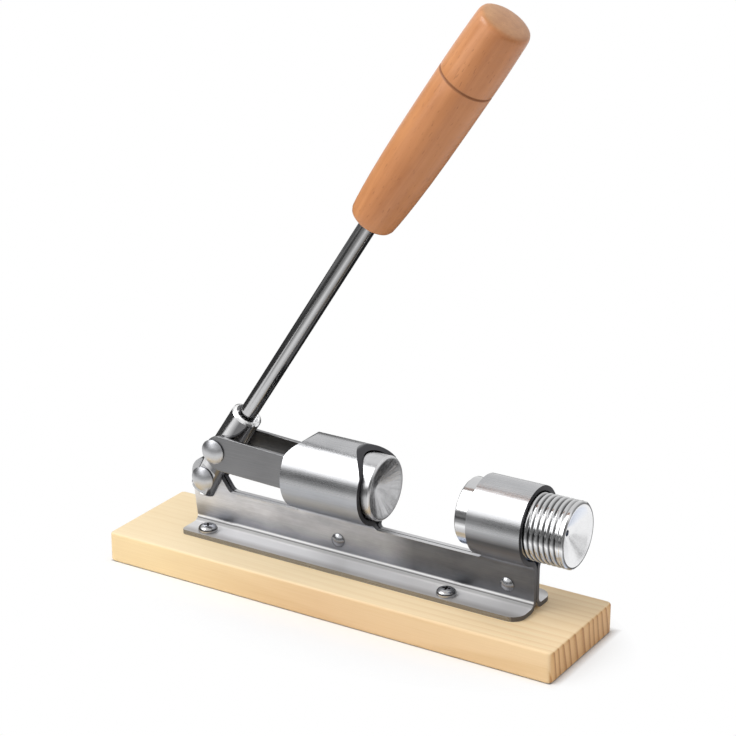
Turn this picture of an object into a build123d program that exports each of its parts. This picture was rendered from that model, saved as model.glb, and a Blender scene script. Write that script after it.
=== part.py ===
from build123d import *
import math
import os

# Lever nutcracker: a lever drives a plunger against a screw anvil, all on a wooden board.
# Millimetres. The origin is under the middle of the board, +X runs from the lever's pivot
# to the anvil, +Y points to the back and +Z is up.

# Board
board_length = 240.0
board_width = 60.0
board_thickness = 15.0
board_edge_radius = 1.6
board_corner_radius = 3.0
board_foot_chamfer = 0.6

# Frame: one folded sheet whose middle plane stands a little behind the middle of the board
frame_y = 4.0
frame_left = -89.5
frame_right = 94.7
sheet = 2.3
web_slit = 0.3
flange_reach = 16.7
flange_bend_radius = 3.0
flange_corner_left = 2.5
flange_corner_right = 7.0
axis_z = 56.2
tube_radius = 18.5
neck_radius = 4.5
web_top = 35.4
sleeve_left = -30.5
sleeve_left_cut = [(-30.5, 67.5), (-28.3, 70.7), (-22.5, 74.7)]
sleeve_right_cut = [(11.5, 65.5), (8.5, 69.9), (1.5, 74.7)]
collar_left = 67.9
notch_corner_radius = 2.0

# Ears: the left end of both webs, set apart from each other to carry the pivot
ear_outer = 2.75
ear_right = -69.0
joggle_length = 2.6
ear_heel_z = 19.0
ear_back = (-92.2, 41.0)
ear_crest = (-83.6, 50.4)
ear_shoulder = (-75.9, 43.3)
ear_foot_x = -70.2
ear_foot_radius = 3.5

# Lever, drawn with its jaws half open: the fork stands a little steeper than the rod above it,
# and the grip leans a little off the rod's line
pivot_x = -83.4
pivot_z = 41.2
link_x = -74.4
link_z = 58.4
rod_line_x = -83.2
rod_line_z = 42.6
lever_angle = 57.0
head_radius = 7.5
head_bend_radius = 60.0
head_foot = 7.8
head_top = 41.7
head_rim_chamfer = 1.4
head_foot_radius = 1.2
head_seat_radius = 8.0
head_seat_face = 6.2
fork_shift = 0.65
fork_gap = 6.1
fork_depth = 12.5
socket_mouth_radius = 5.9
socket_mouth_depth = 2.4
rod_radius = 4.2
rod_foot = 26.5
grip_foot = 167.5
grip_tilt = 1.4
grip_length = 116.0
grip_groove = 83.0
grip_groove_width = 1.0
grip_groove_depth = 0.5
grip_radius = 13.1
grip_foot_round = [(8.6, 0), (10.0, 0.6), (10.7, 2.0)]
grip_swell = [(12.1, 20.0), (12.9, 46.0)]
grip_taper = [(13.0, 96.0), (12.5, 112.7)]
grip_shoulder = (11.8, 114.8)
grip_crown_radius = 10.0
grip_crown_rise = 0.5
rod_in_grip = 62.0

# Domed rivets at the lever's pivot and at the links
rivet_radius = 3.0
rivet_head_radius = 6.1
rivet_head_height = 3.2
rivet_head_edge = 0.5
spacer_radius = 5.0

# Links
link_inner = 7.65
link_thickness = 2.0
link_edge_chamfer = 0.3
link_left_radius = 8.9
link_left_shift = 3.7
link_right_radius = 8.4
link_drop = 0.5
pin_x = -18.0
pin_radius = 2.5
pin_head_radius = 5.4
pin_head_height = 1.5
pin_play = 1.34
pin_hole_shift_x = 0.56
pin_hole_shift_z = 1.03

# Plunger and anvil, turned from the same bar
bar_radius = 15.5
plunger_tail = -27.5
plunger_face = 16.0
plunger_flat_end = -8.0
plunger_flat_half = 7.3
cup_rim = 1.4
cup_depth = 5.5
cup_floor_radius = 2.2
anvil_inner = 60.3
anvil_outer = 114.3
centre_hole_radius = 1.5
centre_hole_depth = 5.0
end_chamfer = 0.8
ring_left = 72.5
ring_right = 90.0

# Small fasteners
screw_x = {"left": -77.5, "right": 54.7}
screw_reach = 11.2
screw_head_radius = 4.7
screw_head_height = 3.6
screw_head_edge = 0.9
screw_tip_chamfer = 1.2
screw_shank_radius = 2.0
screw_hole_radius = 2.3
screw_tip_z = 3.5
web_rivet_x = {"left": -8.8, "right": 81.0}
web_rivet_z = 25.2
web_rivet_radius = 2.0
web_rivet_head_radius = 3.5
web_rivet_head_height = 1.7
web_rivet_head_edge = 0.3

# Fits between pieces
seat = 0.02
running = 0.05
side_play = 0.15

lever_dir = Vector(math.cos(math.radians(lever_angle)), 0, math.sin(math.radians(lever_angle)))
pivot = Vector(pivot_x, frame_y, pivot_z)
link_point = Vector(link_x, frame_y, link_z)
rod_line = Vector(rod_line_x, frame_y, rod_line_z)
fork_dir = (link_point - pivot).normalized()
fork_side = Vector(fork_dir.Z, 0, -fork_dir.X)
pin_point = Vector(pin_x, frame_y, axis_z)
pin_hole = pin_point + Vector(pin_hole_shift_x, 0, pin_hole_shift_z)
lever_plane = Plane(origin=rod_line, x_dir=(0, -1, 0), z_dir=lever_dir)
fork_plane = Plane(origin=pivot, x_dir=(0, -1, 0), z_dir=fork_dir)
grip_dir = lever_dir.rotate(Axis.Y, grip_tilt)
grip_plane = Plane(origin=rod_line + lever_dir * grip_foot, x_dir=(0, -1, 0), z_dir=grip_dir)
flange_top = board_thickness + sheet
web_outer = web_slit / 2 + sheet
ear_inner = ear_outer - sheet


def rod_along_y(centre, radius, half_length):
    place = Plane(origin=centre, x_dir=(1, 0, 0), z_dir=(0, 1, 0))
    return place * Cylinder(radius, 2 * half_length)


def side_slab(outline, half_width):
    place = Plane(origin=(0, frame_y, 0), x_dir=(1, 0, 0), z_dir=(0, -1, 0))
    return extrude(place * outline, half_width, both=True)


def dome(radius, height, edge):
    bulge = height - edge
    ball = (radius * radius + bulge * bulge) / (2 * bulge)
    cap = Pos(0, 0, height - ball) * Sphere(ball)
    return cap & Pos(0, 0, height / 2) * Cylinder(radius, height)


def domed_rivet(centre, shank_radius, seat_face, head_radius, head_height, edge):
    shank = rod_along_y(centre, shank_radius, seat_face + edge)
    head = dome(head_radius, head_height, edge)
    front = Plane(origin=centre + Vector(0, -seat_face, 0), x_dir=(1, 0, 0), z_dir=(0, -1, 0))
    back = Plane(origin=centre + Vector(0, seat_face, 0), x_dir=(1, 0, 0), z_dir=(0, 1, 0))
    return shank + front * head + back * head


def flange_and_wall(side, wall_y, top):
    # Half a section: the flange, its bend and a wall that stands at wall_y from the frame's plane.
    bend = flange_bend_radius + sheet / 2
    floor = board_thickness + sheet / 2
    edge = (frame_y + side * flange_reach, floor)
    bend_start = (frame_y + side * (wall_y + bend), floor)
    bend_end = (frame_y + side * wall_y, floor + bend)
    flange = Line(edge, bend_start)
    corner = TangentArc(bend_start, bend_end, tangent=(-side, 0))
    wall = Line(bend_end, (frame_y + side * wall_y, top))
    return flange, corner, wall


def tube_section():
    # The whole section: flange, web, loop, web and flange in one strip of sheet.
    wall_y = web_slit / 2 + sheet / 2
    loop = tube_radius - sheet / 2
    neck = neck_radius + sheet / 2
    neck_drop = math.sqrt((loop + neck) ** 2 - (wall_y + neck) ** 2)
    neck_z = axis_z - neck_drop
    share = loop / (loop + neck)
    touch_y = (wall_y + neck) * share
    touch_z = axis_z - neck_drop * share
    strip = []
    for side in (-1, 1):
        strip += flange_and_wall(side, wall_y, neck_z)
        start = (frame_y + side * wall_y, neck_z)
        strip.append(TangentArc(start, (frame_y + side * touch_y, touch_z), tangent=(0, 1)))
    left = (frame_y - touch_y, touch_z)
    right = (frame_y + touch_y, touch_z)
    strip.append(ThreePointArc(left, (frame_y, axis_z + loop), right))
    return Plane.YZ * trace(strip, sheet)


def sleeve_outline():
    # Side view of the sleeve: its crown is cut back at both ends, to make room for the lever and the jaws.
    low = web_top - sheet
    high = axis_z + tube_radius + sheet
    left_foot, left_crown = sleeve_left_cut[0], sleeve_left_cut[-1]
    right_foot, right_crown = sleeve_right_cut[0], sleeve_right_cut[-1]
    edges = [
        Line((left_foot[0], low), (right_foot[0], low)),
        Line((right_foot[0], low), right_foot),
        ThreePointArc(*sleeve_right_cut),
        Polyline([right_crown, (right_crown[0], high), (left_crown[0], high), left_crown]),
        ThreePointArc(*sleeve_left_cut),
        Line(left_foot, (left_foot[0], low)),
    ]
    return make_face(Wire.combine(edges)[0])


def ear_outline():
    # Side view of an ear, from the board up over the pivot and down to the top of the web.
    ear_heel = (frame_left, ear_heel_z)
    foot = (ear_foot_x, web_top)
    inner_end = ear_right + 2 * joggle_length
    edges = [
        Polyline([(frame_left, 0), ear_heel, ear_back]),
        ThreePointArc(ear_back, ear_crest, ear_shoulder),
        Polyline([ear_shoulder, foot, (inner_end, web_top), (inner_end, 0), (frame_left, 0)]),
    ]
    outline = make_face(Wire.combine(edges)[0])
    corner = outline.vertices().sort_by_distance((ear_foot_x, web_top, 0))[0]
    return fillet(corner, ear_foot_radius)


def flange_corners(body, end_x):
    upright = body.edges().filter_by(Axis.Z).filter_by_position(Axis.X, end_x - seat, end_x + seat)
    return [edge for edge in upright if abs(edge.center().Y - frame_y) > flange_reach - seat]


def frame_piece():
    joggle_end = ear_right + joggle_length
    strip = Pos(joggle_end, 0, 0) * extrude(tube_section(), frame_right - joggle_end, dir=(1, 0, 0))
    web_middle = (frame_left + frame_right) / 2
    web = Pos(web_middle, web_top / 2) * Rectangle(frame_right - frame_left, web_top)
    collar_middle = (collar_left + frame_right) / 2
    collar = Pos(collar_middle, axis_z) * Rectangle(frame_right - collar_left, 3 * tube_radius)
    side_view = web + collar + sleeve_outline()
    notches = side_view.vertices().filter_by_position(Axis.Y, web_top - seat, web_top + seat)
    notches = notches.filter_by_position(Axis.X, sleeve_left - seat, collar_left + seat)
    side_view = fillet(notches, notch_corner_radius)
    body = strip & side_slab(side_view, board_width)
    wall_top = ear_crest[1] + sheet
    plate_left = ear_back[0] - sheet
    for side in (-1, 1):
        wide = Plane.YZ * trace(flange_and_wall(side, ear_outer - sheet / 2, wall_top), sheet)
        narrow = Plane.YZ * trace(flange_and_wall(side, web_outer - sheet / 2, wall_top), sheet)
        plate = Pos(plate_left, 0, 0) * extrude(wide, ear_right - plate_left, dir=(1, 0, 0))
        joggle = loft([Pos(ear_right, 0, 0) * wide, Pos(joggle_end, 0, 0) * narrow], ruled=True)
        body += (plate + joggle) & side_slab(ear_outline(), board_width)
    body = fillet(flange_corners(body, frame_left), flange_corner_left)
    body = fillet(flange_corners(body, frame_right), flange_corner_right)
    for x in web_rivet_x.values():
        body -= rod_along_y(Vector(x, frame_y, web_rivet_z), web_rivet_radius + seat, board_width)
    body -= rod_along_y(pivot, rivet_radius + seat, board_width)
    for place in screw_places().values():
        body -= place * Cylinder(screw_hole_radius, 4 * sheet)
    return body


def screw_places():
    return {
        f"{row}_{end}": Pos(x, frame_y + side * screw_reach, flange_top)
        for row, side in (("front", -1), ("rear", 1))
        for end, x in screw_x.items()
    }


def base_board():
    slab = Box(board_length, board_width, board_thickness, align=(Align.CENTER, Align.CENTER, Align.MIN))
    slab = fillet(slab.edges().filter_by(Axis.Z), board_corner_radius)
    slab = fillet(slab.faces().sort_by(Axis.Z)[-1].edges(), board_edge_radius)
    slab = chamfer(slab.faces().sort_by(Axis.Z)[0].edges(), board_foot_chamfer)
    depth = flange_top - screw_tip_z
    pilot = Pos(0, 0, -depth / 2) * Cylinder(screw_shank_radius + seat, depth)
    for place in screw_places().values():
        slab -= place * pilot
    return slab


def base_screw(place):
    length = flange_top - screw_tip_z
    head = dome(screw_head_radius, screw_head_height, screw_head_edge)
    shank = Pos(0, 0, -length / 2) * Cylinder(screw_shank_radius, length)
    shank = chamfer(shank.faces().sort_by(Axis.Z)[0].edges(), screw_tip_chamfer)
    return place * (head + shank)


def web_rivet(x):
    centre = Vector(x, frame_y, web_rivet_z)
    return domed_rivet(centre, web_rivet_radius, web_outer, web_rivet_head_radius,
                       web_rivet_head_height, web_rivet_head_edge)


def bent_bar():
    # A round bar along the fork's line, bent to the rod's line where the two lines cross.
    foot = pivot + fork_side * fork_shift - fork_dir * head_foot
    knee = rod_line + lever_dir * ((foot - rod_line).dot(fork_side) / lever_dir.dot(fork_side))
    top = rod_line + lever_dir * head_top
    place = Plane(origin=(0, frame_y, 0), x_dir=(1, 0, 0), z_dir=(0, -1, 0))
    corners = [(point.X, point.Z) for point in (foot, knee, top)]
    path = place * FilletPolyline(corners, radius=head_bend_radius)
    section = Plane(origin=foot, x_dir=(0, -1, 0), z_dir=fork_dir) * Circle(head_radius)
    return sweep(section, path)


def lever_head():
    bar = bent_bar()
    bar = chamfer(bar.faces().sort_by(Axis(rod_line, lever_dir))[-1].edges(), head_rim_chamfer)
    bar = fillet(bar.faces().sort_by(Axis(pivot, fork_dir))[0].edges(), head_foot_radius)
    fork_height = fork_depth + 2 * head_foot
    slot = Pos(0, 0, fork_depth - fork_height / 2) * Box(fork_gap, 4 * head_radius, fork_height)
    bar -= fork_plane * slot
    mouth = Pos(0, 0, head_top) * Cylinder(socket_mouth_radius, 2 * socket_mouth_depth)
    bar -= lever_plane * mouth
    bar -= lever_rod(seat)
    bar -= rod_along_y(pivot, rivet_radius + running, 2 * head_radius)
    bar -= rod_along_y(link_point, rivet_radius + seat, 2 * head_radius)
    for side in (-1, 1):
        cutter = Cylinder(head_seat_radius, 2 * sheet)
        centre = pivot + Vector(0, side * (head_seat_face + sheet), 0)
        bar -= Plane(origin=centre, x_dir=(1, 0, 0), z_dir=(0, 1, 0)) * cutter
    return bar


def lever_rod(spare=0.0):
    length = grip_foot + rod_in_grip - rod_foot
    return lever_plane * (Pos(0, 0, rod_foot + length / 2) * Cylinder(rod_radius + spare, length))


def handle_grip():
    # Half of the turned outline: each point is a radius and a distance from the foot of the grip.
    groove_low = grip_groove - grip_groove_width / 2
    groove_high = grip_groove + grip_groove_width / 2
    ball = (grip_crown_radius ** 2 + grip_crown_rise ** 2) / (2 * grip_crown_rise)
    half = grip_crown_radius / 2
    crown_foot = (grip_crown_radius, grip_length - grip_crown_rise)
    crown_middle = (half, grip_length - ball + math.sqrt(ball ** 2 - half ** 2))
    crown_top = (0, grip_length)
    edges = [
        Line((0, 0), grip_foot_round[0]),
        ThreePointArc(*grip_foot_round),
        Spline([grip_foot_round[-1]] + grip_swell + [(grip_radius, groove_low)]),
        Line((grip_radius, groove_low), (grip_radius - grip_groove_depth, grip_groove)),
        Line((grip_radius - grip_groove_depth, grip_groove), (grip_radius, groove_high)),
        Spline([(grip_radius, groove_high)] + grip_taper),
        ThreePointArc(grip_taper[-1], grip_shoulder, crown_foot),
        ThreePointArc(crown_foot, crown_middle, crown_top),
        Line(crown_top, (0, 0)),
    ]
    profile = Plane.XZ * make_face(Wire.combine(edges)[0])
    return grip_plane * revolve(profile, Axis.Z) - lever_rod(seat)


def link_plate(side):
    along = (pin_point - link_point).normalized()
    left = link_point + along * link_left_shift
    left_end = Pos(left.X, left.Z - link_drop) * Circle(link_left_radius)
    right_end = Pos(pin_x, axis_z - link_drop) * Circle(link_right_radius)
    outline = make_hull(left_end.edges() + right_end.edges())
    middle = frame_y + side * (link_inner + link_thickness / 2)
    place = Plane(origin=(0, middle, 0), x_dir=(1, 0, 0), z_dir=(0, -1, 0))
    plate = extrude(place * outline, link_thickness / 2, both=True)
    plate = chamfer(plate.faces().filter_by(Axis.Y).edges(), link_edge_chamfer)
    plate -= rod_along_y(link_point, rivet_radius + running, 2 * link_inner)
    plate -= rod_along_y(pin_hole, pin_radius + pin_play, 2 * link_inner)
    return plate


def pivot_spacer():
    tube = rod_along_y(pivot, spacer_radius, ear_inner)
    return tube - rod_along_y(pivot, rivet_radius + seat, 2 * ear_inner)


def cup(face, inward):
    # The conical dish turned into the end of the bar.
    rim = bar_radius - cup_rim
    cone = Cone(rim, cup_floor_radius, cup_depth, align=(Align.CENTER, Align.CENTER, Align.MIN))
    place = Plane(origin=(face, frame_y, axis_z), x_dir=(0, 1, 0), z_dir=(inward, 0, 0))
    return place * cone


def bar_piece(left, right):
    place = Plane(origin=((left + right) / 2, frame_y, axis_z), x_dir=(0, 1, 0), z_dir=(1, 0, 0))
    body = place * Cylinder(bar_radius, right - left)
    return chamfer(body.edges().filter_by(GeomType.CIRCLE), end_chamfer)


def plunger():
    body = bar_piece(plunger_tail, plunger_face) - cup(plunger_face, -1)
    length = 2 * (plunger_flat_end - plunger_tail)
    width = 2 * bar_radius
    for side in (-1, 1):
        middle = frame_y + side * (plunger_flat_half + width / 2)
        body -= Pos(plunger_flat_end - length / 2, middle, axis_z) * Box(length, width, 2 * width)
    return body - rod_along_y(pin_point, pin_radius + seat, 2 * bar_radius)


def plunger_pin():
    reach = link_inner + link_thickness + side_play
    shank = rod_along_y(pin_point, pin_radius, reach)
    for side in (-1, 1):
        middle = pin_point + Vector(0, side * (reach + pin_head_height / 2), 0)
        shank += rod_along_y(middle, pin_head_radius, pin_head_height / 2)
    return shank


def anvil_screw():
    body = bar_piece(anvil_inner, anvil_outer) - cup(anvil_inner, 1) - cup(anvil_outer, -1)
    depth = cup_depth + centre_hole_depth
    place = Plane(origin=(anvil_outer - depth / 2, frame_y, axis_z), x_dir=(0, 1, 0), z_dir=(1, 0, 0))
    return body - place * Cylinder(centre_hole_radius, depth)


def collar_thread_ring():
    middle = (ring_left + ring_right) / 2
    place = Plane(origin=(middle, frame_y, axis_z), x_dir=(0, 1, 0), z_dir=(1, 0, 0))
    length = ring_right - ring_left
    outer = tube_radius - sheet - seat
    return place * (Cylinder(outer, length) - Cylinder(bar_radius + running, length))


pieces = {
    "base_board": base_board(),
    "frame": frame_piece(),
    "pivot_spacer": pivot_spacer(),
    "pivot_rivet": domed_rivet(pivot, rivet_radius, head_seat_face + side_play, rivet_head_radius,
                               rivet_head_height, rivet_head_edge),
    "lever_head": lever_head(),
    "lever_rod": lever_rod(),
    "handle_grip": handle_grip(),
    "link_rivet": domed_rivet(link_point, rivet_radius, link_inner + link_thickness + side_play,
                              rivet_head_radius, rivet_head_height, rivet_head_edge),
    "link_front": link_plate(-1),
    "link_rear": link_plate(1),
    "plunger": plunger(),
    "plunger_pin": plunger_pin(),
    "collar_thread_ring": collar_thread_ring(),
    "anvil_screw": anvil_screw(),
}
for spot, place in screw_places().items():
    pieces[f"base_screw_{spot}"] = base_screw(place)
for end, x in web_rivet_x.items():
    pieces[f"frame_rivet_{end}"] = web_rivet(x)

os.makedirs("parts", exist_ok=True)
for name, shape in pieces.items():
    export_step(shape, f"parts/{name}.step")
    print(f"{name}: {len(shape.solids())} solid(s), {shape.volume:.0f} mm3")
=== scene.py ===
import math
import bmesh
import bpy
from mathutils import Matrix, Vector


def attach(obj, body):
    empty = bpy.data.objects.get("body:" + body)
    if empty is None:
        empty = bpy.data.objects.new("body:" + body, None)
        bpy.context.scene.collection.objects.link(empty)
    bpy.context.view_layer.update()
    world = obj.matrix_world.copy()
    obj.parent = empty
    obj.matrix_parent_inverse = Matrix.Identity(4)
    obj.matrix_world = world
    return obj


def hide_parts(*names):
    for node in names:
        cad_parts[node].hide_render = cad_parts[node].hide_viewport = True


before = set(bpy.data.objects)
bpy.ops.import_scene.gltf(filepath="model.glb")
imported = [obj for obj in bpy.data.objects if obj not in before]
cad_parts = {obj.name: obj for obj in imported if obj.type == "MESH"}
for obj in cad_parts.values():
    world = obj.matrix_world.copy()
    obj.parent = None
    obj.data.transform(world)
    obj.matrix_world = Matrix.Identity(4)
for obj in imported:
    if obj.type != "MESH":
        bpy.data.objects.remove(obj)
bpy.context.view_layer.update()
mm = 0.001
white = (1.0, 1.0, 1.0)
upward = Vector((0.0, 0.0, 1.0))
barDir = Vector((1.0, 0.0, 0.0))
frameY = 4.0  # the frame's middle plane, a little behind the middle of the board
barAxisZ = 56.2  # height of the plunger's and anvil's axis
pivot = Vector((-83.4, frameY, 41.2))
linkPoint = Vector((-74.4, frameY, 58.4))
rodLine = Vector((-83.2, frameY, 42.6))  # a point on the rod's axis, close to the pivot
leverTurn = math.radians(57.0)
leverDir = Vector((math.cos(leverTurn), 0.0, math.sin(leverTurn)))
print("frame loaded:", len(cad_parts), "nodes")


# node helpers, all patterns sit on Object coordinates in metres
def newMaterial(name):
    mat = bpy.data.materials.new(name)
    mat.use_nodes = True
    tree = mat.node_tree
    return mat, tree, tree.nodes["Principled BSDF"]


def addNode(tree, kind, inputs=None, **settings):
    node = tree.nodes.new(kind)
    for key, value in settings.items():
        setattr(node, key, value)
    for key, value in (inputs or {}).items():
        node.inputs[key].default_value = value
    return node


def placed(tree, scale=(1, 1, 1), turn=(0, 0, 0), shift=(0, 0, 0)):
    coords = addNode(tree, "ShaderNodeTexCoord")
    mapping = addNode(tree, "ShaderNodeMapping", {"Location": shift, "Rotation": turn, "Scale": scale})
    tree.links.new(coords.outputs["Object"], mapping.inputs["Vector"])
    return mapping.outputs["Vector"]


def alongAxis(tree, foot, direction):
    turn = direction.rotation_difference(upward).to_euler()
    moved = -(turn.to_matrix() @ foot)
    return placed(tree, turn=tuple(turn), shift=tuple(moved)), turn.to_matrix()


def scaled(tree, vector, scale):
    mapping = addNode(tree, "ShaderNodeMapping", {"Scale": scale})
    tree.links.new(vector, mapping.inputs["Vector"])
    return mapping.outputs["Vector"]


def axes(tree, vector):
    node = addNode(tree, "ShaderNodeSeparateXYZ")
    tree.links.new(vector, node.inputs["Vector"])
    return [node.outputs[axis] for axis in "XYZ"]


def facing(tree, kind="Normal"):
    return axes(tree, addNode(tree, "ShaderNodeNewGeometry").outputs[kind])


def noise(tree, vector, scale, detail=4.0, rough=0.55, distortion=0.0):
    node = addNode(tree, "ShaderNodeTexNoise",
                   {"Scale": scale, "Detail": detail, "Roughness": rough, "Distortion": distortion})
    tree.links.new(vector, node.inputs["Vector"])
    return node.outputs["Fac"]


def greys(stops):
    return [(at, (tone, tone, tone)) for at, tone in stops]


def ramp(tree, value, stops):
    node = addNode(tree, "ShaderNodeValToRGB")
    while len(node.color_ramp.elements) < len(stops):
        node.color_ramp.elements.new(0.5)
    for element, (at, colour) in zip(node.color_ramp.elements, stops):
        element.position = at
        element.color = (*colour, 1.0)
    tree.links.new(value, node.inputs["Fac"])
    return node.outputs["Color"]


def span(tree, value, low, high, fromLow=0.0, fromHigh=1.0):
    node = addNode(tree, "ShaderNodeMapRange",
                   {"From Min": fromLow, "From Max": fromHigh, "To Min": low, "To Max": high})
    tree.links.new(value, node.inputs["Value"])
    return node.outputs["Result"]


def rising(tree, value, limits, unit=1.0):
    return span(tree, value, 0.0, 1.0, limits[0] * unit, limits[1] * unit)


def falling(tree, value, limits, unit=1.0):
    return span(tree, value, 1.0, 0.0, limits[0] * unit, limits[1] * unit)


def math2(tree, kind, a, b=0.0):
    node = addNode(tree, "ShaderNodeMath", operation=kind)
    for socket, value in zip(node.inputs, (a, b)):
        if isinstance(value, (int, float)):
            socket.default_value = value
        else:
            tree.links.new(value, socket)
    return node.outputs["Value"]


def product(tree, first, *others):
    for other in others:
        first = math2(tree, "MULTIPLY", first, other)
    return first


def added(tree, base, share, amount):
    return math2(tree, "ADD", base, math2(tree, "MULTIPLY", share, amount))


def inverse(tree, share):
    return math2(tree, "SUBTRACT", 1.0, share)


def length2(tree, a, b):
    return math2(tree, "SQRT", added(tree, math2(tree, "MULTIPLY", a, a), b, b))


def vectorMath(tree, kind, vector, other=None):
    inputs = {} if other is None else {1: tuple(other)}
    node = addNode(tree, "ShaderNodeVectorMath", inputs, operation=kind)
    tree.links.new(vector, node.inputs[0])
    return node


def blendColour(tree, kind, share, a, b):
    node = addNode(tree, "ShaderNodeMix", data_type="RGBA", blend_type=kind)
    for socket, value in zip((node.inputs[0], node.inputs[6], node.inputs[7]), (share, a, b)):
        if isinstance(value, (int, float)):
            socket.default_value = value
        elif isinstance(value, tuple):
            socket.default_value = (*value, 1.0)
        else:
            tree.links.new(value, socket)
    return node.outputs[2]


def covered(tree, share, colour, tone):
    return blendColour(tree, "MIX", share, colour, tone)


def tinted(tree, share, colour, tone):
    return blendColour(tree, "MULTIPLY", share, colour, tone)


def bump(tree, shader, height, strength, distance):
    node = addNode(tree, "ShaderNodeBump", {"Strength": strength, "Distance": distance})
    tree.links.new(height, node.inputs["Height"])
    tree.links.new(node.outputs["Normal"], shader.inputs["Normal"])


# what a surface that faces or lies a given way shows, lengths in millimetres:
# polished loops with painted shade underneath, duller webs with painted light and shade along them, pale flanges, dark
# cut edges
frameFinish = {
    "loops": {"under": (-0.29, 0.01), "toRight": (20.0, 65.0), "left": (0.88, 0.925, 1.0), "right": (0.20, 0.205, 0.22),
              "rougher": 0.22, "bottom": (-0.85, -0.40), "bottomTone": (0.46, 0.475, 0.51),
              "lift": (-0.55, -0.30), "liftTone": (1.9, 1.9, 1.95)},
    "web": {"top": (36.3, 39.0), "foot": (19.9, 20.5), "reach": (-90.0, 90.0), "rougher": 0.14,
            "fade": [(0.03, 1.0), (0.23, 0.86), (0.38, 0.70), (0.59, 0.54), (0.68, 0.20), (0.80, 0.165), (0.94, 0.175)],
            "tone": (1.84, 1.87, 1.95), "patchGrain": (32.0, 60.0, 85.0),
            "patches": [(0.36, (0.72, 0.725, 0.74)), (0.62, white)],
            "lowHeight": (19.9, 29.9), "lowLeft": (-10.0, 50.0), "lowTone": (0.30, 0.30, 0.305),
            "rim": (0.85, 0.97), "rimTone": (0.60, 0.60, 0.61)},
    "flange": {"facing": (0.05, 0.25), "toRight": (-20.0, 70.0), "left": (0.51, 0.495, 0.485),
               "right": (0.50, 0.485, 0.475), "back": (10.5, 14.5), "backTone": (1.55, 1.58, 1.61),
               "metal": 0.5, "rougher": 0.25,
               "edge": (0.55, 0.80), "edgeTop": (17.2, 17.4), "edgeTone": (0.60, 0.60, 0.60)},
    "bend": {"from": (0.12, 0.35), "to": (0.85, 0.98), "top": (20.7, 22.0), "tone": (0.58, 0.58, 0.58),
             "rougher": 0.25, "topside": (0.02, 0.06),
             "shineFrom": (19.0, 19.3), "shineTo": (19.7, 20.0), "shineShare": 0.8, "shine": (0.95, 0.95, 0.95),
             "creaseFrom": (18.4, 18.6), "creaseTo": (18.8, 19.0), "crease": (0.42, 0.42, 0.42)},
    "cut": {"facing": (0.30, 0.45), "tone": (0.07, 0.07, 0.075), "lowTone": (0.16, 0.16, 0.17), "rougher": 0.3},
}


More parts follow.
